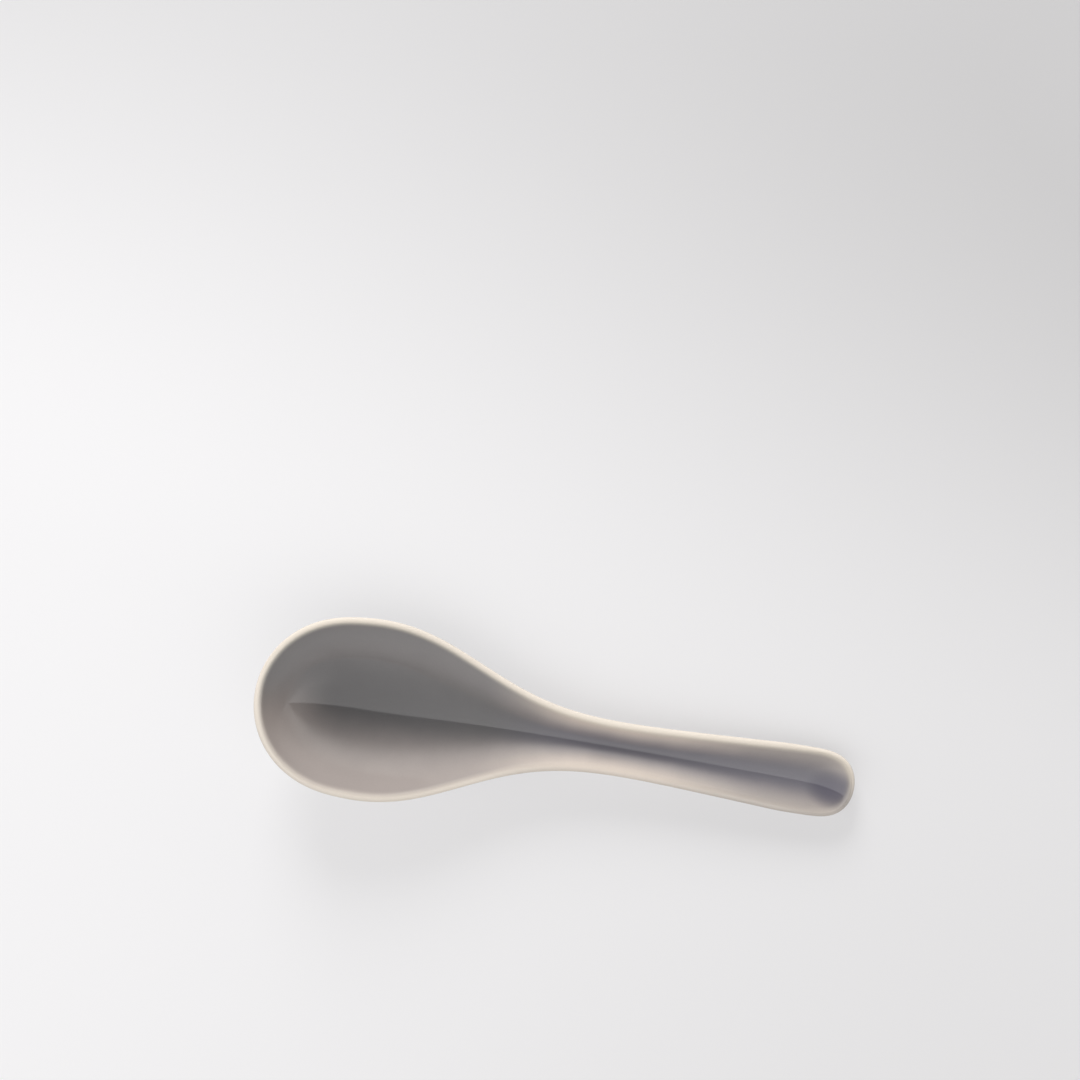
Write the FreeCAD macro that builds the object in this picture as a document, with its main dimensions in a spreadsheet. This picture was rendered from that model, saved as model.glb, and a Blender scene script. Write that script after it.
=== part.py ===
import FreeCAD, Part
import os
import sys
from math import atan2, cos, degrees, exp, hypot, pi, radians, sin, sqrt, tan
from FreeCAD import Placement, Rotation, Vector
from Sketcher import Constraint

# Soup spoon in glazed ceramic: an egg-shaped bowl that runs out into a channelled handle, all one
# wall with a rounded lip. It is drawn with the bowl's rim level, X along the handle and x = 0 at
# the bowl's widest place, and is then laid as it comes to rest.

doc = FreeCAD.newDocument("soup_spoon")

# Driving dimensions: millimetres, degrees for rise_angle, plain ratios for the shape values.
dimensions = {
    "bowl_front": 23.5,         # from the widest place to the bowl's tip
    "handle_reach": 116.5,      # from the widest place to the handle's tip
    "bowl_width": 43.0,
    "bowl_roundness": 2.4,      # exponent of the front of the outline: 2 is an ellipse
    "shoulder_reach": 34.9,     # how far the bowl's width carries on towards the handle
    "shoulder_power": 2.31,     # how briskly the shoulders then draw in
    "neck_place": 61.0,
    "neck_width": 11.8,
    "end_length": 16.5,         # the handle's rounded end, up to its tip
    "end_width": 16.3,
    "end_roundness": 4.2,       # exponent of the rounded end: more is squarer
    "lip_thickness": 2.4,       # wall across the rim before the lip is rounded
    "floor_thickness": 3.2,     # wall under the bowl and the channel
    "bowl_depth": 13.0,         # from the rim to the bowl's floor
    "neck_depth": 3.6,          # from the rim to the valley of the channel
    "end_depth": 3.0,
    "floor_reach": 29.0,        # how far the deep floor carries on towards the handle
    "floor_power": 2.2,
    "bowl_fullness": 0.22,      # 0 makes a parabola across the bowl, more makes steeper walls
    "channel_sharpness": 0.5,   # 0 makes a parabola across the channel, more makes a rounded V
    "rise_place": 18.0,         # where the rim leaves the level
    "rise_radius": 200.0,
    "rise_angle": 6.9,
}
sheet = doc.addObject("Spreadsheet::Sheet", "sizes")
for row, (name, value) in enumerate(dimensions.items(), start=1):
    sheet.set(f"A{row}", name)
    sheet.set(f"B{row}", str(value))
    sheet.setAlias(f"B{row}", name)
doc.recompute()
size = {name: float(sheet.get(name)) for name in dimensions}

endPlace = size["handle_reach"] - size["end_length"]    # where the handle's rounded end begins

sectionStep = 4.5   # spacing of the skins' sections along the spoon
halfCount = 7       # steps across each half of a section
margin = 1.5        # how far the skins run past their edges

lipPlaces = 64      # places round the outline where the lip's section is drawn
lipBands = 5        # bands that make up the round of the lip
lipSpare = 0.03     # how far the round keeps inside the rim and the walls
lipRunout = 0.7     # length by which the round runs on, out through each wall
lipTurn = radians(10)   # how steeply it leaves the wall there
lipRoom = 2.5       # how far the lip's cutter reaches past the outline and above the rim
leanDepth = 1.2     # depth below the rim at which a wall's lean is taken

# The lip is a full round, which takes the sharp outer edge back to the outline.
wallLean = radians(60)
sharpEnd = 1 / tan(wallLean / 2)
roundRadius = size["lip_thickness"] / (sharpEnd + 1 / sharpEnd)
edgeOverhang = roundRadius * (sharpEnd - 1)


def fading(x, reach, power):
    """One over the front of the bowl, falling smoothly to nothing along the handle."""
    return exp(-(max(x, 0) / reach) ** power)


def along(x, neckValue, endValue):
    """A value that changes in a straight line from the neck to the handle's end."""
    share = (x - size["neck_place"]) / (endPlace - size["neck_place"])
    return neckValue + (endValue - neckValue) * share


def halfWidth(x):
    swell = (size["bowl_width"] - along(0, size["neck_width"], size["end_width"])) / 2
    handle = along(x, size["neck_width"], size["end_width"]) / 2
    return handle + swell * fading(x, size["shoulder_reach"], size["shoulder_power"])


def insetHalfWidth(x, inset):
    """The half width of the line that runs parallel to the outline, inset from it."""
    step = 0.01
    slope = (halfWidth(x + step) - halfWidth(x - step)) / (2 * step)
    return halfWidth(x) - inset * hypot(1, slope)


def rimHeight(x):
    """Level over the bowl, then bending up through an arc into a straight slope."""
    radius = size["rise_radius"]
    angle = radians(size["rise_angle"])
    run = max(x - size["rise_place"], 0)
    if run < radius * sin(angle):
        return radius - sqrt(radius ** 2 - run ** 2)
    return radius * (1 - cos(angle)) + (run - radius * sin(angle)) * tan(angle)


def skinHeight(x, y, inset, wall, sharpness):
    """Height of a skin that meets the rim along the outline, or along a line inset from it.

    The share is 0 over the keel and 1 at the rim, and the two ends of the spoon add to it. The
    section is fuller than a parabola in the bowl, and a rounded V where sharpness is set.
    """
    frontLength = size["bowl_front"] - inset
    endLength = size["end_length"] - inset
    share = (y / insetHalfWidth(x, inset)) ** 2
    share += (max(-x, 0) / frontLength) ** size["bowl_roundness"]
    share += (max(x - endPlace, 0) / endLength) ** size["end_roundness"]

    bowl = fading(x, size["floor_reach"], size["floor_power"])
    channel = along(x, size["neck_depth"], size["end_depth"])
    depth = channel + (size["bowl_depth"] - channel) * bowl + wall
    bend = sharpness * (1 - bowl) - size["bowl_fullness"] * bowl
    return rimHeight(x) - depth * (1 - (1 + bend) * share / (1 + bend * share))


def throughPoints(points):
    """Poles of an even cubic curve through the points, without the first and the last."""
    threes = zip(points, points[1:], points[2:])
    return [(here * 8 - before - after) / 6 for before, here, after in threes]


def makeSkin(name, inset, wall, sharpness):
    """A free-form face through a net of heights, which has two more steps all round."""
    start = inset - size["bowl_front"] - margin
    end = size["handle_reach"] - inset + margin
    steps = round((end - start) / sectionStep)
    rows = []
    for station in range(-2, steps + 3):
        x = start + (end - start) * station / steps
        reach = insetHalfWidth(x, inset) + margin
        across = [reach * index / halfCount for index in range(-halfCount - 2, halfCount + 3)]
        row = [Vector(x, y, skinHeight(x, y, inset, wall, sharpness)) for y in across]
        rows.append(throughPoints(row))
    columns = [throughPoints(column) for column in zip(*rows)]
    poles = [list(row) for row in zip(*columns)]
    knots = [list(range(count + 4)) for count in (len(poles), len(poles[0]))]
    single = [[1] * len(line) for line in knots]
    surface = Part.BSplineSurface()
    surface.buildFromPolesMultsKnots(poles, *single, *knots, False, False, 3, 3)
    surface.segment(3, len(poles), 3, len(poles[0]))
    skin = doc.addObject("Part::Feature", name)
    skin.Shape = surface.toShape()
    return skin


def makeSpaceAbove(skin, name):
    """Everything above a skin, as a solid."""
    space = doc.addObject("Part::Extrusion", name)
    space.Base = skin
    space.DirMode = "Custom"
    space.Dir = Vector(0, 0, 1)
    space.setExpression("LengthFwd", "sizes.handle_reach / 2")
    return space


def bind(sketch, name, constraint, expression):
    """Adds a sized constraint and ties it to the sheet."""
    index = sketch.addConstraint(constraint)
    sketch.renameConstraint(index, name)
    sketch.setExpression(f"Constraints.{name}", expression)


# What lies under the rim: the side view of the rim line, padded to both sides.
blank = doc.addObject("PartDesign::Body", "blank")
sidePlane = next(plane for plane in blank.Origin.OriginFeatures if plane.Role == "XZ_Plane")
side = blank.newObject("Sketcher::SketchObject", "rim_side_view")
side.AttachmentSupport = [(sidePlane, "")]
side.MapMode = "FlatFace"

overrun = 2 * margin
riseRadius = size["rise_radius"]
riseAngle = radians(size["rise_angle"])
frontX = -size["bowl_front"] - overrun
endX = size["handle_reach"] + overrun
straightX = size["rise_place"] + riseRadius * sin(riseAngle)
bottomZ = -size["bowl_width"]
levelStart = Vector(frontX, 0, 0)
levelEnd = Vector(size["rise_place"], 0, 0)
slopeStart = Vector(straightX, rimHeight(straightX), 0)
slopeEnd = Vector(endX, rimHeight(endX), 0)
endCorner = Vector(endX, bottomZ, 0)
frontCorner = Vector(frontX, bottomZ, 0)
riseCircle = Part.Circle(Vector(size["rise_place"], riseRadius, 0), Vector(0, 0, 1), riseRadius)

level = side.addGeometry(Part.LineSegment(levelStart, levelEnd))
rise = side.addGeometry(Part.ArcOfCircle(riseCircle, radians(-90), riseAngle - radians(90)))
slope = side.addGeometry(Part.LineSegment(slopeStart, slopeEnd))
endSide = side.addGeometry(Part.LineSegment(slopeEnd, endCorner))
bottom = side.addGeometry(Part.LineSegment(endCorner, frontCorner))
frontSide = side.addGeometry(Part.LineSegment(frontCorner, levelStart))
side.addConstraint([
    Constraint("Tangent", level, 2, rise, 1),
    Constraint("Tangent", rise, 2, slope, 1),
    Constraint("Coincident", slope, 2, endSide, 1),
    Constraint("Coincident", endSide, 2, bottom, 1),
    Constraint("Coincident", bottom, 2, frontSide, 1),
    Constraint("Coincident", frontSide, 2, level, 1),
    Constraint("PointOnObject", level, 1, -1),
    Constraint("Horizontal", level),
    Constraint("Vertical", endSide),
    Constraint("Horizontal", bottom),
    Constraint("Vertical", frontSide),
])
bind(side, "front", Constraint("DistanceX", level, 1, -1, 1, -frontX),
     f"sizes.bowl_front + {overrun}")
bind(side, "rise_place", Constraint("DistanceX", -1, 1, level, 2, levelEnd.x), "sizes.rise_place")
bind(side, "rise_radius", Constraint("Radius", rise, riseRadius), "sizes.rise_radius")
bind(side, "rise_angle", Constraint("Angle", slope, riseAngle), "sizes.rise_angle * 1 deg")
bind(side, "end", Constraint("DistanceX", -1, 1, slope, 2, endX), f"sizes.handle_reach + {overrun}")
bind(side, "below", Constraint("DistanceY", bottom, 1, -1, 1, -bottomZ), "sizes.bowl_width")

underRim = blank.newObject("PartDesign::Pad", "under_rim")
underRim.Profile = side
underRim.SideType = "Symmetric"
underRim.setExpression("Length", f"sizes.bowl_width + {2 * overrun}")

# The outer skin cuts the solid form out of the blank, and the inner skin hollows it.
outerValues = (-edgeOverhang, size["floor_thickness"], 0)
innerValues = (size["lip_thickness"] - edgeOverhang, 0, size["channel_sharpness"])
form = doc.addObject("Part::Common", "solid_form")
form.Base = blank
form.Tool = makeSpaceAbove(makeSkin("outer_skin", *outerValues), "above_outer_skin")
shell = doc.addObject("Part::Cut", "sharp_shell")
shell.Base = form
shell.Tool = makeSpaceAbove(makeSkin("inner_skin", *innerValues), "above_inner_skin")


def outlineLoop():
    """Places evenly spread round the outline: from the bowl's tip along one side, and back."""
    middle = (size["handle_reach"] - size["bowl_front"]) / 2
    reach = (size["handle_reach"] + size["bowl_front"]) / 2
    fineCount = 40 * lipPlaces
    side = []
    for index in range(fineCount + 1):
        x = middle - reach * cos(pi * index / fineCount)
        share = (max(-x, 0) / size["bowl_front"]) ** size["bowl_roundness"]
        share += (max(x - endPlace, 0) / size["end_length"]) ** size["end_roundness"]
        side.append(Vector(x, halfWidth(x) * sqrt(max(1 - share, 0)), 0))
    side = Part.makePolygon(side).discretize(Number=lipPlaces // 2 + 1)
    return side + [Vector(place.x, -place.y, 0) for place in side[-2:0:-1]]


def skinInset(place, inward, skinValues, drop):
    """How far in from a place on the outline a skin lies, at a depth below the rim."""
    near = -lipRoom
    far = 2 * lipRoom
    for _ in range(30):
        middle = (near + far) / 2
        probe = place + inward * middle
        if skinHeight(probe.x, probe.y, *skinValues) > rimHeight(probe.x) - drop:
            near = middle
        else:
            far = middle
    return middle


def lipSection(place, inward):
    """The lip cutter's section: down one side of the lip, over it and round through the air.

    The lip's own part is the circle that touches the rim and both walls, and its two ends run
    straight on through the walls.
    """
    def corner(inset, drop):
        probe = place + inward * inset
        return Vector(probe.x, probe.y, rimHeight(probe.x) - drop)

    outerInset = skinInset(place, inward, outerValues, 0)
    innerInset = skinInset(place, inward, innerValues, 0)
    outerLean = atan2(leanDepth, skinInset(place, inward, outerValues, leanDepth) - outerInset)
    innerLean = atan2(leanDepth, skinInset(place, inward, innerValues, leanDepth) - innerInset)
    depth = (innerInset - outerInset) / (1 / tan(outerLean / 2) + tan(innerLean / 2))
    centre = outerInset + depth / tan(outerLean / 2)
    radius = depth - lipSpare

    outerLeg = outerLean + lipTurn
    innerLeg = innerLean - lipTurn
    start = pi - outerLeg
    turns = [start - (start + innerLeg) * index / lipBands for index in range(lipBands + 1)]
    lip = [(centre - radius * sin(turn), depth - radius * cos(turn)) for turn in turns]
    outerFoot = (lip[0][0] + lipRunout * cos(outerLeg), lip[0][1] + lipRunout * sin(outerLeg))
    innerFoot = (lip[-1][0] + lipRunout * cos(innerLeg), lip[-1][1] + lipRunout * sin(innerLeg))
    air = [(innerFoot[0], -lipRoom), (-lipRoom, -lipRoom), (-lipRoom, outerFoot[1])]
    return [corner(*values) for values in [outerFoot, *lip, innerFoot, *air]]


def makeBand(first, second):
    """A closed band, straight across, between two smooth loops."""
    loops = [throughPoints(loop[-1:] + loop + loop[:1]) for loop in (first, second)]
    poles = [list(pair) for pair in zip(*loops)]
    knots = list(range(len(poles) + 1))
    surface = Part.BSplineSurface()
    surface.buildFromPolesMultsKnots(
        poles, [1] * len(knots), [2, 2], knots, [0, 1], True, False, 3, 1
    )
    return surface.toShape()


# The lip's cutter is a ring round the whole outline, hollow where the rounded lip stays.
outline = outlineLoop()
sections = []
for index, place in enumerate(outline):
    heading = outline[(index + 1) % len(outline)] - outline[index - 1]
    sections.append(lipSection(place, Vector(heading.y, -heading.x, 0).normalize()))
loops = [list(loop) for loop in zip(*sections)]
cutterShell = Part.Shell([makeBand(*pair) for pair in zip(loops, loops[1:] + loops[:1])])
cutterShell.sewShape()
cutter = doc.addObject("Part::Feature", "lip_cutter")
cutter.Shape = Part.Solid(cutterShell)

spoon = doc.addObject("Part::Cut", "spoon")
spoon.Base = shell
spoon.Tool = cutter
doc.recompute()


def restingTilt():
    """The angle at which the bowl's underside and the handle's end both touch a level surface."""
    def lowest(start, end, tilt):
        places = [start + (end - start) * step / 400 for step in range(401)]
        keel = [(x, skinHeight(x, 0, *outerValues)) for x in places]
        return min(keel, key=lambda point: point[1] * cos(tilt) - point[0] * sin(tilt))

    tilt = 0
    for _ in range(20):
        bowlX, bowlZ = lowest(-size["bowl_front"], size["neck_place"], tilt)
        handleX, handleZ = lowest(size["neck_place"], size["handle_reach"], tilt)
        tilt = atan2(handleZ - bowlZ, handleX - bowlX)
    return degrees(tilt)


# At rest the spoon leans back on its handle, and its origin is under the middle of its box.
turn = Rotation(Vector(0, 1, 0), restingTilt())
turned = spoon.Shape.copy()
turned.Placement = Placement(Vector(), turn)
corners, _ = turned.tessellate(0.01)
box = FreeCAD.BoundBox()
for corner in corners:
    box.add(corner)
spoon.Placement = Placement(Vector(-box.Center.x, 0, -box.ZMin), turn)
doc.recompute()

for item in doc.Objects:
    if "Invalid" in item.State or "Error" in item.State:
        sys.exit(f"{item.Label} failed: {item.State}")
if spoon.Shape.isNull() or not spoon.Shape.isValid():
    sys.exit("the spoon's shape is not sound")

os.makedirs("parts", exist_ok=True)
spoon.Shape.exportStep(f"parts/{spoon.Label}.step")
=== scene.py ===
from math import cos, exp, hypot, pi, radians, sin, sqrt, tan

import bmesh
import bpy
from mathutils import Matrix, Vector


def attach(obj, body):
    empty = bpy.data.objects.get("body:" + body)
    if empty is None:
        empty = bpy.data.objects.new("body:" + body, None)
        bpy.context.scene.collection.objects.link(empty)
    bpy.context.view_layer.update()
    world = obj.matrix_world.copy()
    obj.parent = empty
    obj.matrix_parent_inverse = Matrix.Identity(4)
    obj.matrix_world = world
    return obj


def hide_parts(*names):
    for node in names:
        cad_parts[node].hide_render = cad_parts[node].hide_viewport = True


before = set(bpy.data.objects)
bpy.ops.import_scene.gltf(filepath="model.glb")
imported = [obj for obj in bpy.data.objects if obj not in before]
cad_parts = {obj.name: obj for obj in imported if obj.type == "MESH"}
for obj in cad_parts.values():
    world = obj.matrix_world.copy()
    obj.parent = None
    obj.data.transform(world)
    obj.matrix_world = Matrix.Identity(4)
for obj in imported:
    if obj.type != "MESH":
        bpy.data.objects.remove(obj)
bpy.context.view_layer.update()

mm = 0.001

# The spoon is drawn in its own frame, with the bowl's rim level, X along the handle and x = 0 at
# the bowl's widest place, in millimetres and degrees. It is laid down once it is made.
shape = {
    "bowlFront": 23.5,                  # from x = 0 to the bowl's tip
    "bowlWidth": 43.0,
    "bowlRoundness": 2.4,               # 2 is an ellipse, and more is squarer
    "handleReach": 116.5,               # from x = 0 to the handle's tip
    "shoulderReach": 34.9,              # how far the bowl's width runs into the handle
    "shoulderPower": 2.31,
    "neckPlace": 61.0,
    "neckWidth": 11.8,
    "endPlace": 100.0,                  # where the handle's rounded end begins
    "endWidth": 16.3,
    "endRoundness": 4.2,
    "lipThickness": 2.4,
    "floorThickness": 3.2,
    "bowlDepth": 13.0,
    "neckDepth": 3.6,
    "endDepth": 3.0,
    "floorReach": 29.0,                 # how far the bowl's depth runs into the handle
    "floorPower": 2.2,
    "bowlFullness": 0.22,               # more gives steeper sides and a flatter floor
    "channelSharpness": 0.5,            # more makes the handle's channel a sharper valley
    "risePlace": 18.0,                  # the rim rises from here, on a curve up to an angle
    "riseRadius": 200.0,
    "riseAngle": 6.9,
    "restingTilt": 10.957,              # leaning back on the handle's end
    "restingPlace": (-46.228, 17.074),  # where x = 0 comes to rest, along and up
    # the mesh
    "stripSize": 100.0,                 # the first strip, before its points are placed
    "frontSteps": 13,
    "flankSteps": 36,
    "endSteps": 10,
    "insideLevels": [0.03, 0.1, 0.19, 0.29, 0.39, 0.49, 0.59, 0.69, 0.78, 0.86, 0.935, 1.0],
    "outsideLevels": [1.0, 0.87, 0.76, 0.64, 0.52, 0.4, 0.28, 0.16, 0.07],
    "edgeOverhang": 0.73,               # the outer edge stands out this far before it is rounded
    "endPull": 0.68,                    # the share of it taken off at the handle's squarish end
    "outerRounding": 1.82,
    "outerSegments": 5,
    "innerRounding": 0.6,
    "innerSegments": 3,
    "poleMerge": 0.002,
    "halvesMerge": 0.01,
    "smoothLevels": 2,
}


def fading(x, reach, power):
    return exp(-(max(x, 0) / reach) ** power)


def alongHandle(x, neckValue, endValue):
    share = (x - shape["neckPlace"]) / (shape["endPlace"] - shape["neckPlace"])
    return neckValue + (endValue - neckValue) * share


def halfWidth(x):
    swell = (shape["bowlWidth"] - alongHandle(0, shape["neckWidth"], shape["endWidth"])) / 2
    handle = alongHandle(x, shape["neckWidth"], shape["endWidth"]) / 2
    return handle + swell * fading(x, shape["shoulderReach"], shape["shoulderPower"])


def insetHalfWidth(x, inset):
    step = 0.01
    slope = (halfWidth(x + step) - halfWidth(x - step)) / (2 * step)
    return halfWidth(x) - inset * hypot(1, slope)


def roundedLengths(inset):
    # the bowl's front and the handle's rounded end
    return shape["bowlFront"] - inset, shape["handleReach"] - shape["endPlace"] - inset


def tipShare(x, inset):
    # 0 between the two rounded lengths and 1 at either tip
    frontLength, endLength = roundedLengths(inset)
    share = (max(-x, 0) / frontLength) ** shape["bowlRoundness"]
    return share + (max(x - shape["endPlace"], 0) / endLength) ** shape["endRoundness"]


def rimHeight(x):
    radius, angle = shape["riseRadius"], radians(shape["riseAngle"])
    run = max(x - shape["risePlace"], 0)
    if run < radius * sin(angle):
        return radius - sqrt(radius ** 2 - run ** 2)
    return radius * (1 - cos(angle)) + (run - radius * sin(angle)) * tan(angle)


def skinHeight(x, share, wall, sharpness):
    # share is 0 over the keel and 1 at the rim
    bowl = fading(x, shape["floorReach"], shape["floorPower"])
    channel = alongHandle(x, shape["neckDepth"], shape["endDepth"])
    depth = channel + (shape["bowlDepth"] - channel) * bowl + wall
    bend = sharpness * (1 - bowl) - shape["bowlFullness"] * bowl
    return rimHeight(x) - depth * (1 - (1 + bend) * share / (1 + bend * share))


def ringPlace(station, level, inset, wall, sharpness):
    # one place on a skin: level is 0 over the keel and 1 at the rim, station runs from tip to tip
    frontLength, endLength = roundedLengths(inset)
    front, flank, end = shape["frontSteps"], shape["flankSteps"], shape["endSteps"]
    side = 1
    if station <= front:
        angle = pi / 2 * (station / front)
        x = -frontLength * (level * cos(angle)) ** (2 / shape["bowlRoundness"])
        side = sin(angle)
    elif station < front + flank:
        x = shape["endPlace"] * (station - front) / flank
    else:
        angle = pi / 2 * ((front + flank + end - station) / end)
        x = shape["endPlace"] + endLength * (level * cos(angle)) ** (2 / shape["endRoundness"])
        side = sin(angle)
    y = insetHalfWidth(x, inset) * level * side
    return Vector((x, y, skinHeight(x, level ** 2, wall, sharpness)))


def ring(level, *skin):
    count = shape["frontSteps"] + shape["flankSteps"] + shape["endSteps"] + 1
    return [ringPlace(station, level, *skin) for station in range(count)]


def keelRow(nextRow, inset, wall, sharpness):
    # the row along the keel, straight above or below the next one
    return [
        Vector((place.x, 0, skinHeight(place.x, tipShare(place.x, inset), wall, sharpness)))
        for place in nextRow
    ]


def lipRows():
    # a skin is its distance in from the outline, its wall below the inside and its sharpness
    innerSkin = (shape["lipThickness"] - shape["edgeOverhang"], 0, shape["channelSharpness"])
    outerSkin = (-shape["edgeOverhang"], shape["floorThickness"], 0)
    inside = [ring(level, *innerSkin) for level in shape["insideLevels"]]
    outside = [ring(level, *outerSkin) for level in shape["outsideLevels"]]
    outline = ring(1.0, 0, 0, 0)
    for station in range(-shape["endSteps"], 0):
        outside[0][station] = outside[0][station].lerp(outline[station], shape["endPull"])
    inside.insert(0, keelRow(inside[0], *innerSkin))
    outside.append(keelRow(outside[-1], *outerSkin))
    return inside, outside


def carry(vertex, place):
    vertex.select_set(True)
    bpy.ops.transform.translate(value=place - vertex.co)
    vertex.select_set(False)


def rounded(place):
    return round(place.x, 2), round(abs(place.y), 2), round(place.z, 2)


def roundEdge(spoon, places, rounding, segments):
    # rounds the edge that runs through the places and through their mirror images
    bpy.ops.object.mode_set(mode="EDIT")
    mesh = bmesh.from_edit_mesh(spoon.data)
    bpy.ops.mesh.select_all(action="DESELECT")
    onEdge = {rounded(place) for place in places}
    chosen = {vertex for vertex in mesh.verts if rounded(vertex.co) in onEdge}
    for edge in mesh.edges:
        if chosen.issuperset(edge.verts):
            edge.select_set(True)
    bpy.ops.mesh.bevel(offset=rounding, segments=segments, profile=0.5, affect="EDGES")
    bpy.ops.object.mode_set(mode="OBJECT")


def makeSpoon():
    # half the spoon is one strip, extruded from the valley up to the lip and down the outside
    inside, outside = lipRows()
    rows = inside + outside
    count = len(rows[0])

    bpy.ops.object.select_all(action="DESELECT")
    bpy.ops.mesh.primitive_grid_add(
        x_subdivisions=count - 1, y_subdivisions=1, size=shape["stripSize"]
    )
    spoon = bpy.context.object
    spoon.name = "glazedSpoon"
    bpy.ops.object.mode_set(mode="EDIT")
    mesh = bmesh.from_edit_mesh(spoon.data)
    vertices = sorted(mesh.verts, key=lambda vertex: (round(vertex.co.y, 3), vertex.co.x))
    bpy.ops.mesh.select_all(action="DESELECT")
    for vertex, place in zip(vertices, rows[0] + rows[1]):
        carry(vertex, place)
    current = vertices[count:]
    for places in rows[2:]:
        bpy.ops.mesh.select_all(action="DESELECT")
        for pair in zip(current, current[1:]):
            mesh.edges.get(pair).select_set(True)
        bpy.ops.mesh.extrude_edges_indiv()
        # the new row is what is selected at the far end of the old row's edges
        ends = [[edge.other_vert(vertex) for edge in vertex.link_edges] for vertex in current]
        current = [next(vertex for vertex in group if vertex.select) for group in ends]
        bpy.ops.mesh.select_all(action="DESELECT")
        for vertex, place in zip(current, places):
            carry(vertex, place)
    bpy.ops.mesh.select_all(action="SELECT")
    bpy.ops.mesh.remove_doubles(threshold=shape["poleMerge"])
    bpy.ops.mesh.normals_make_consistent(inside=False)
    bpy.ops.mesh.select_all(action="DESELECT")
    bpy.ops.object.mode_set(mode="OBJECT")

    mirror = spoon.modifiers.new("otherHalf", "MIRROR")
    mirror.use_axis = (False, True, False)
    mirror.merge_threshold = shape["halvesMerge"]
    bpy.ops.object.modifier_apply(modifier=mirror.name)

    # both edges of the lip are rounded, the outer one more because its corner is sharper
    roundEdge(spoon, outside[0], shape["outerRounding"], shape["outerSegments"])
    roundEdge(spoon, inside[-1], shape["innerRounding"], shape["innerSegments"])

    smooth = spoon.modifiers.new("smooth", "SUBSURF")
    smooth.levels = shape["smoothLevels"]
    smooth.render_levels = shape["smoothLevels"]
    bpy.ops.object.modifier_apply(modifier=smooth.name)
    bpy.ops.object.shade_smooth()
    return spoon


def addGlazeAttributes(spoon):
    # how far up the wall each place is, from 0 over the keel to 1 at the rim, its distance from
    # the rim, and its place along the spoon and to the side, in millimetres
    columns = {"rimShare": [], "fromRim": [], "along": [], "sideways": []}
    for vertex in spoon.data.vertices:
        x, y, _ = vertex.co
        share = sqrt((y / halfWidth(x)) ** 2 + tipShare(x, 0))
        reach = halfWidth(min(max(x, 0), shape["endPlace"]))
        for column, value in zip(columns.values(), (share, (1 - share) * reach, x, y)):
            column.append(value)
    for name, column in columns.items():
        spoon.data.attributes.new(name, "FLOAT", "POINT").data.foreach_set("value", column)


def layDown(spoon):
    # to metres, leaning back on the handle's end, with the keel and that end on the floor
    bpy.ops.object.mode_set(mode="EDIT")
    bpy.ops.mesh.select_all(action="SELECT")
    bpy.ops.transform.resize(value=(mm, mm, mm), center_override=(0, 0, 0))
    bpy.ops.object.mode_set(mode="OBJECT")
    along, up = shape["restingPlace"]
    turn = Matrix.Rotation(radians(shape["restingTilt"]), 4, "Y")
    toRest = Matrix.Translation((along * mm, 0, up * mm)) @ turn
    spoon.data.transform(toRest)
    return toRest


spoon = makeSpoon()
addGlazeAttributes(spoon)
toRest = layDown(spoon)
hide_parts("spoon")
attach(spoon, "root")
print("spoon made", len(spoon.data.polygons), "faces")


class Socket:
    # wraps a node's output so that shader maths can be written as plain expressions
    def __init__(self, tree, out):
        self.tree = tree
        self.out = out

    def math(self, operation, other):
        settings = {"operation": operation}
        return makeNode(self.tree, "ShaderNodeMath", settings, {0: self, 1: other})

    def __add__(self, other):
        return self.math("ADD", other)

    __radd__ = __add__

    def __mul__(self, other):
        return self.math("MULTIPLY", other)

    __rmul__ = __mul__

    def __neg__(self):
        return self * -1

    def __sub__(self, other):
        return self.math("SUBTRACT", other)

    def __rsub__(self, other):
        return -self + other

    def __truediv__(self, other):
        return self.math("DIVIDE", other)

    def __pow__(self, other):
        return self.math("POWER", other)

    def smooth(self, low, high):
        # 0 below low, 1 above high, with a soft change between them
        settings = {"interpolation_type": "SMOOTHSTEP"}
        return makeNode(self.tree, "ShaderNodeMapRange", settings, {
            "Value": self, "From Min": low, "From Max": high, "To Min": 0.0, "To Max": 1.0,
        })


def makeNode(tree, kind, settings, values, output=0):
    # its settings come first, then the value or link of each socket
    node = tree.nodes.new(kind)
    for name, value in settings.items():
        setattr(node, name, value)
    for key, value in values.items():
        if isinstance(value, Socket):
            tree.links.new(value.out, node.inputs[key])
        else:
            node.inputs[key].default_value = value
    if node.outputs:
        return Socket(tree, node.outputs[output])


def mixColours(tree, factor, first, second):
    # a Mix node has its colours at inputs 6 and 7 and at output 2
    settings = {"data_type": "RGBA"}
    return makeNode(tree, "ShaderNodeMix", settings, {0: factor, 6: first, 7: second}, output=2)


def scaleColour(tree, colour, strength):
    settings = {"operation": "SCALE"}
    values = {"Vector": colour, "Scale": strength}
    return makeNode(tree, "ShaderNodeVectorMath", settings, values)


def newMaterial(name):
    material = bpy.data.materials.new(name)
    material.use_nodes = True
    material.node_tree.nodes.clear()
    return material, material.node_tree


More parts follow.
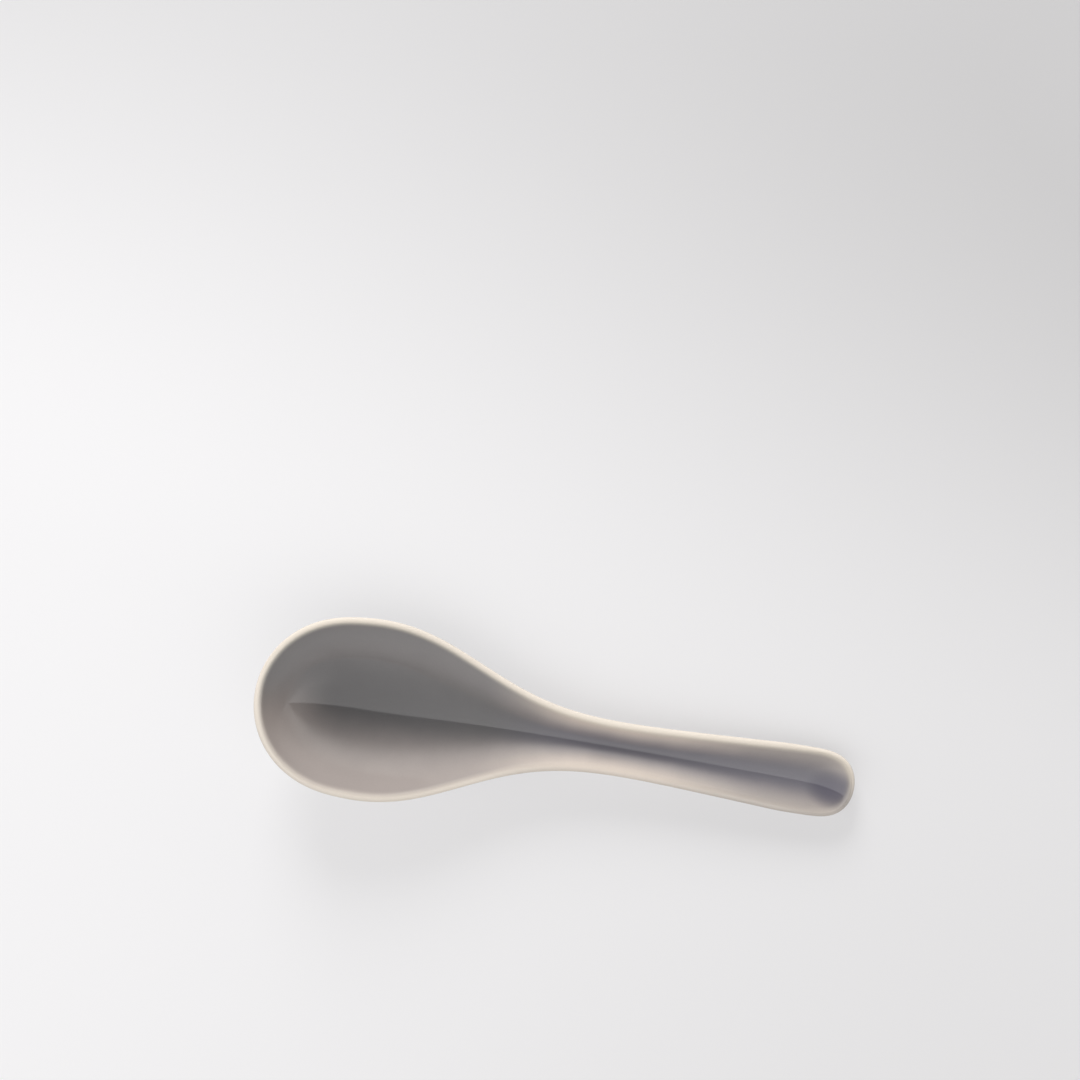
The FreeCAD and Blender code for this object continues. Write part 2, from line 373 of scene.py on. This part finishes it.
# The glaze is thin and cream over the lip, and pools to grey in the bowl and to blue grey at the
# handle's end. The grey towards the keel is partly pooled glaze and partly painted shade. The
# walls
# carry painted light and shade: the bowl's near wall is painted lit and its far wall painted
# shaded, the neck is painted lit, and the cream band is widened on the near side as a painted
# highlight and cut back on the handle's near lip as painted shade. Places and bands are in
# millimetres, along the spoon or in from the rim.
glazeLook = {
    "cream": (0.94, 0.855, 0.75, 1),
    "fringe": (0.54, 0.485, 0.37, 1),
    # the bowl's near wall is painted lit and its far wall painted shaded
    "bowlNearWallPaintedLight": (0.46, 0.405, 0.38, 1),
    "bowlFarWallPaintedShade": (0.34, 0.33, 0.33, 1),
    "bowlPoolAndShade": (0.145, 0.141, 0.143, 1),
    # the neck's wall is painted lighter, as painted light that falls off along the handle
    "neckWallPaintedLight": (0.79, 0.69, 0.61, 1),
    "handleWall": (0.48, 0.43, 0.40, 1),
    "handlePoolAndShade": (0.205, 0.198, 0.225, 1),
    "blueSpot": (0.125, 0.12, 0.155, 1),
    "spotPlace": (112.0, -1.2),
    "spotSize": (5.0, 3.4),
    "spotFade": 2.4,                # how far out it fades, in spot sizes squared
    "spotStrength": 0.9,
    "thinBand": (0.5, 1.9),         # from cream to the full glaze
    "nearLipPaintedShade": 0.65,           # the share of cream that the handle's near lip lacks, as painted shade
    "fringeBand": (1.0, 2.4),
    "fringeStrength": 0.6,
    "nearHighlightWidening": 0.28,           # distances count this much less there, so the cream band is wider, a painted highlight on the near lip
    "bandWander": 3.0,              # how far the clouds push the bands about
    "poolAndShadeShare": (0.1, 0.85),       # from the pooled glaze and painted shade to the wall, as a share of the way to the rim
    "sides": (-6.0, 6.0),
    "neckStart": (28.0, 54.0),
    "neckEnd": (62.0, 98.0),
    "noiseDetail": 3.0,
    "cloudScale": 120.0,
    "cloudStrength": 0.10,
    "cloudTone": 0.5,
    "grainScale": 2600.0,
    "grainStrength": 0.07,
    "ior": 1.68,
    "roughness": 0.06,
}


def makeGlaze(look):
    material, tree = newMaterial("milkGlaze")
    place = makeNode(tree, "ShaderNodeTexCoord", {}, {}, output="Object")

    def attribute(name):
        return makeNode(tree, "ShaderNodeAttribute", {"attribute_name": name}, {}, output="Fac")

    def swing(scale, strength):
        # noise about zero
        values = {"Vector": place, "Scale": scale, "Detail": look["noiseDetail"]}
        return (makeNode(tree, "ShaderNodeTexNoise", {}, values) - 0.5) * strength

    rimShare, fromRim = attribute("rimShare"), attribute("fromRim")
    along, sideways = attribute("along"), attribute("sideways")
    cloud = swing(look["cloudScale"], look["cloudStrength"])
    grain = swing(look["grainScale"], look["grainStrength"])

    # darker towards the keel: partly pooled glaze, partly painted shade in the hollow
    pooledAndShaded = 1 - (rimShare + cloud).smooth(*look["poolAndShadeShare"])
    onHandle = along.smooth(*look["neckStart"])
    towardsEnd = along.smooth(*look["neckEnd"])
    farSide = sideways.smooth(*look["sides"])
    # painted light and shade: the near wall is painted lighter than the far wall
    wall = mixColours(tree, farSide, look["bowlNearWallPaintedLight"], look["bowlFarWallPaintedShade"])
    # painted light: the neck is painted lighter than the handle's end
    wall = mixColours(tree, onHandle, wall, look["neckWallPaintedLight"])
    wall = mixColours(tree, towardsEnd, wall, look["handleWall"])
    poolAndShade = mixColours(tree, onHandle, look["bowlPoolAndShade"], look["handlePoolAndShade"])
    colour = mixColours(tree, pooledAndShaded, wall, poolAndShade)

    spotX, spotY = look["spotPlace"]
    spotLength, spotWidth = look["spotSize"]
    spot = ((along - spotX) / spotLength) ** 2 + ((sideways - spotY) / spotWidth) ** 2
    inSpot = (1 - spot.smooth(0.0, look["spotFade"])) * look["spotStrength"]
    colour = mixColours(tree, inSpot, colour, look["blueSpot"])

    # the cream band is wider on the near side, a painted highlight on the near lip
    highlightWidening = look["nearHighlightWidening"]
    edge = (fromRim + cloud * look["bandWander"]) * (farSide * highlightWidening + (1 - highlightWidening))
    fringe = (1 - edge.smooth(*look["fringeBand"])) * (farSide * look["fringeStrength"])
    colour = mixColours(tree, fringe, colour, look["fringe"])
    # painted shade: the handle's near lip loses some of its cream
    nearLipShade = (1 - farSide) * onHandle * look["nearLipPaintedShade"]
    cream = (1 - edge.smooth(*look["thinBand"])) * (1 - nearLipShade)
    colour = mixColours(tree, cream, colour, look["cream"])

    shader = makeNode(tree, "ShaderNodeBsdfPrincipled", {}, {
        "Base Color": scaleColour(tree, colour, grain + 1 + cloud * look["cloudTone"]),
        "IOR": look["ior"],
        "Roughness": look["roughness"],
    })
    makeNode(tree, "ShaderNodeOutputMaterial", {}, {"Surface": shader})
    return material


spoon.data.materials.clear()
spoon.data.materials.append(makeGlaze(glazeLook))
print("glaze made")

# The camera has a long lens. It looks at the spoon from a little to the far side of straight
# above the level rim, and sees the bowl's widest place at the anchor's pixel.
cameraSetup = {
    "imageSize": 1080,
    "lens": 100.0,
    "sensor": 36.0,
    "pixelsPerMm": 4.327,
    "anchorPixel": (355.0, 709.0),
    "leanBack": 11.5,
    "axisSlope": 8.2,               # how far the handle's axis runs down to the right
}


def makeCamera(setup):
    focal = setup["lens"] / setup["sensor"] * setup["imageSize"]
    half = setup["imageSize"] / 2
    anchor = toRest @ Vector((0, 0, 0))
    turn = toRest.to_3x3()
    lean = radians(setup["leanBack"])
    towards = turn @ Vector((0, sin(lean), cos(lean)))
    # looking straight at the anchor, with the handle's axis level in the picture
    right = turn @ Vector((1, 0, 0))
    right = (right - towards * right.dot(towards)).normalized()
    up = towards.cross(right)
    look = Matrix((right, up, towards)).transposed()
    roll = Matrix.Rotation(radians(setup["axisSlope"]), 3, "Z")
    # then turned so that the anchor lands on its pixel
    column, row = setup["anchorPixel"]
    pixel = Vector((column - half, half - row, -focal)).normalized()
    aim = pixel.rotation_difference(Vector((0, 0, -1))).to_matrix()
    facing = look @ roll @ aim
    distance = focal / setup["pixelsPerMm"] * mm / -pixel.z
    camera = bpy.data.objects.new("camera", bpy.data.cameras.new("camera"))
    camera.data.lens = setup["lens"]
    camera.data.sensor_width = setup["sensor"]
    camera.matrix_world = Matrix.Translation(anchor + towards * distance) @ facing.to_4x4()
    bpy.context.collection.objects.link(camera)
    bpy.context.scene.camera = camera


makeCamera(cameraSetup)
print("camera made")

# The floor is pale paper. What the camera sees of it is lifted to a pale grey with painted
# light and shade, lighter at the left and darker at the far side, and the shadows stay in its lit
# part.
floorLook = {
    "size": 6.0,
    "paper": (0.40, 0.40, 0.405, 1),
    "light": (0.57, 0.565, 0.57, 1),
    "dim": (0.24, 0.235, 0.235, 1),
    "turn": -8.2,                   # the picture's own level, in degrees from the spoon's axis
    "rightward": (-0.16, 0.16),     # metres over which the tone dims, and by how much
    "rightwardDimming": 0.45,
    "farward": (0.02, 0.18),
    "farwardDimming": 0.68,
}


def split(tree, vector):
    values = {"Vector": vector}
    return [makeNode(tree, "ShaderNodeSeparateXYZ", {}, values, output=axis) for axis in range(3)]


def seenDirectly(tree):
    # 1 where the camera, a mirror-like surface or glass looks, 0 for the light that spreads about
    camera, glossy, transmission = (
        makeNode(tree, "ShaderNodeLightPath", {}, {}, output=f"Is {kind} Ray")
        for kind in ("Camera", "Glossy", "Transmission")
    )
    return camera + glossy + transmission


def makeFloor(look):
    bpy.ops.mesh.primitive_plane_add(size=look["size"])
    floor = bpy.context.object
    floor.name = "floor"
    material, tree = newMaterial("palePaper")
    paper = makeNode(tree, "ShaderNodeBsdfDiffuse", {}, {"Color": look["paper"]})
    x, y, _ = split(tree, makeNode(tree, "ShaderNodeTexCoord", {}, {}, output="Object"))
    turn = radians(look["turn"])
    rightward = (x * cos(turn) + y * sin(turn)).smooth(*look["rightward"])
    farward = (y * cos(turn) - x * sin(turn)).smooth(*look["farward"])
    # painted light that falls off to the right and towards the far side
    dimming = rightward * look["rightwardDimming"] + farward * look["farwardDimming"]
    tone = mixColours(tree, dimming, look["light"], look["dim"])
    lit = {"Color": tone, "Strength": seenDirectly(tree)}
    lift = makeNode(tree, "ShaderNodeEmission", {}, lit)
    surface = makeNode(tree, "ShaderNodeAddShader", {}, {0: paper, 1: lift})
    makeNode(tree, "ShaderNodeOutputMaterial", {}, {"Surface": surface})
    floor.data.materials.append(material)


makeFloor(floorLook)
print("floor made")

# One soft lamp makes the shadows.
lampLook = {"place": (-0.30, 1.06, 0.56), "aim": (0, 0, 0.02), "size": 0.6, "energy": 9.8}


def makeLamp(look):
    light = bpy.data.lights.new("key", "AREA")
    light.shape = "DISK"
    light.size = look["size"]
    light.energy = look["energy"]
    lamp = bpy.data.objects.new("key", light)
    lamp.visible_camera = False
    lamp.visible_glossy = False
    place, aim = Vector(look["place"]), Vector(look["aim"])
    turn = (place - aim).to_track_quat("Z", "Y").to_matrix().to_4x4()
    lamp.matrix_world = Matrix.Translation(place) @ turn
    bpy.context.collection.objects.link(lamp)


makeLamp(lampLook)

# The room gives the rest of the light. Its near side is a pale field with a clean edge overhead,
# and its far side a broad soft glow. Angles are in degrees from straight above.
roomLook = {
    "dark": 0.07,
    "seen": (0.72, 0.72, 0.73, 1),
    "fieldEdge": (-4.5, -2.5),      # towards the near side
    "fieldFade": (30.0, 90.0),
    "fieldNear": 1.0,
    "fieldFar": 0.28,
    "glowRise": (38.0, 72.0),       # towards the far side
    "glowFall": (60.0, 92.0),
    "glow": 0.85,
    "glowLeft": 0.45,
    "fieldTint": (0.985, 0.975, 0.975),
    "glowTint": (1.02, 1.0, 0.97),
}


def makeRoom(look):
    world = bpy.data.worlds.new("room")
    world.use_nodes = True
    tree = world.node_tree
    tree.nodes.clear()
    _, y, z = split(tree, makeNode(tree, "ShaderNodeTexCoord", {}, {}, output="Generated"))
    lean = y.math("ARCTAN2", z) * (180 / pi)
    near = -lean
    fade = (1 - near.smooth(*look["fieldFade"])) * (look["fieldNear"] - look["fieldFar"])
    field = near.smooth(*look["fieldEdge"]) * (fade + look["fieldFar"])
    glow = lean.smooth(*look["glowRise"]) * look["glow"]
    glow = glow * (1 - lean.smooth(*look["glowFall"]) * (1 - look["glowLeft"]))
    fieldLight = scaleColour(tree, look["fieldTint"], field)
    glowLight = scaleColour(tree, look["glowTint"], glow + look["dark"])
    both = {0: fieldLight, 1: glowLight}
    light = makeNode(tree, "ShaderNodeVectorMath", {"operation": "ADD"}, both)
    camera = makeNode(tree, "ShaderNodeLightPath", {}, {}, output="Is Camera Ray")
    colour = mixColours(tree, camera, light, look["seen"])
    background = makeNode(tree, "ShaderNodeBackground", {}, {"Color": colour, "Strength": 1.0})
    makeNode(tree, "ShaderNodeOutputWorld", {}, {"Surface": background})
    bpy.context.scene.world = world


makeRoom(roomLook)
bpy.context.scene.view_settings.view_transform = "Standard"
print("lights made")
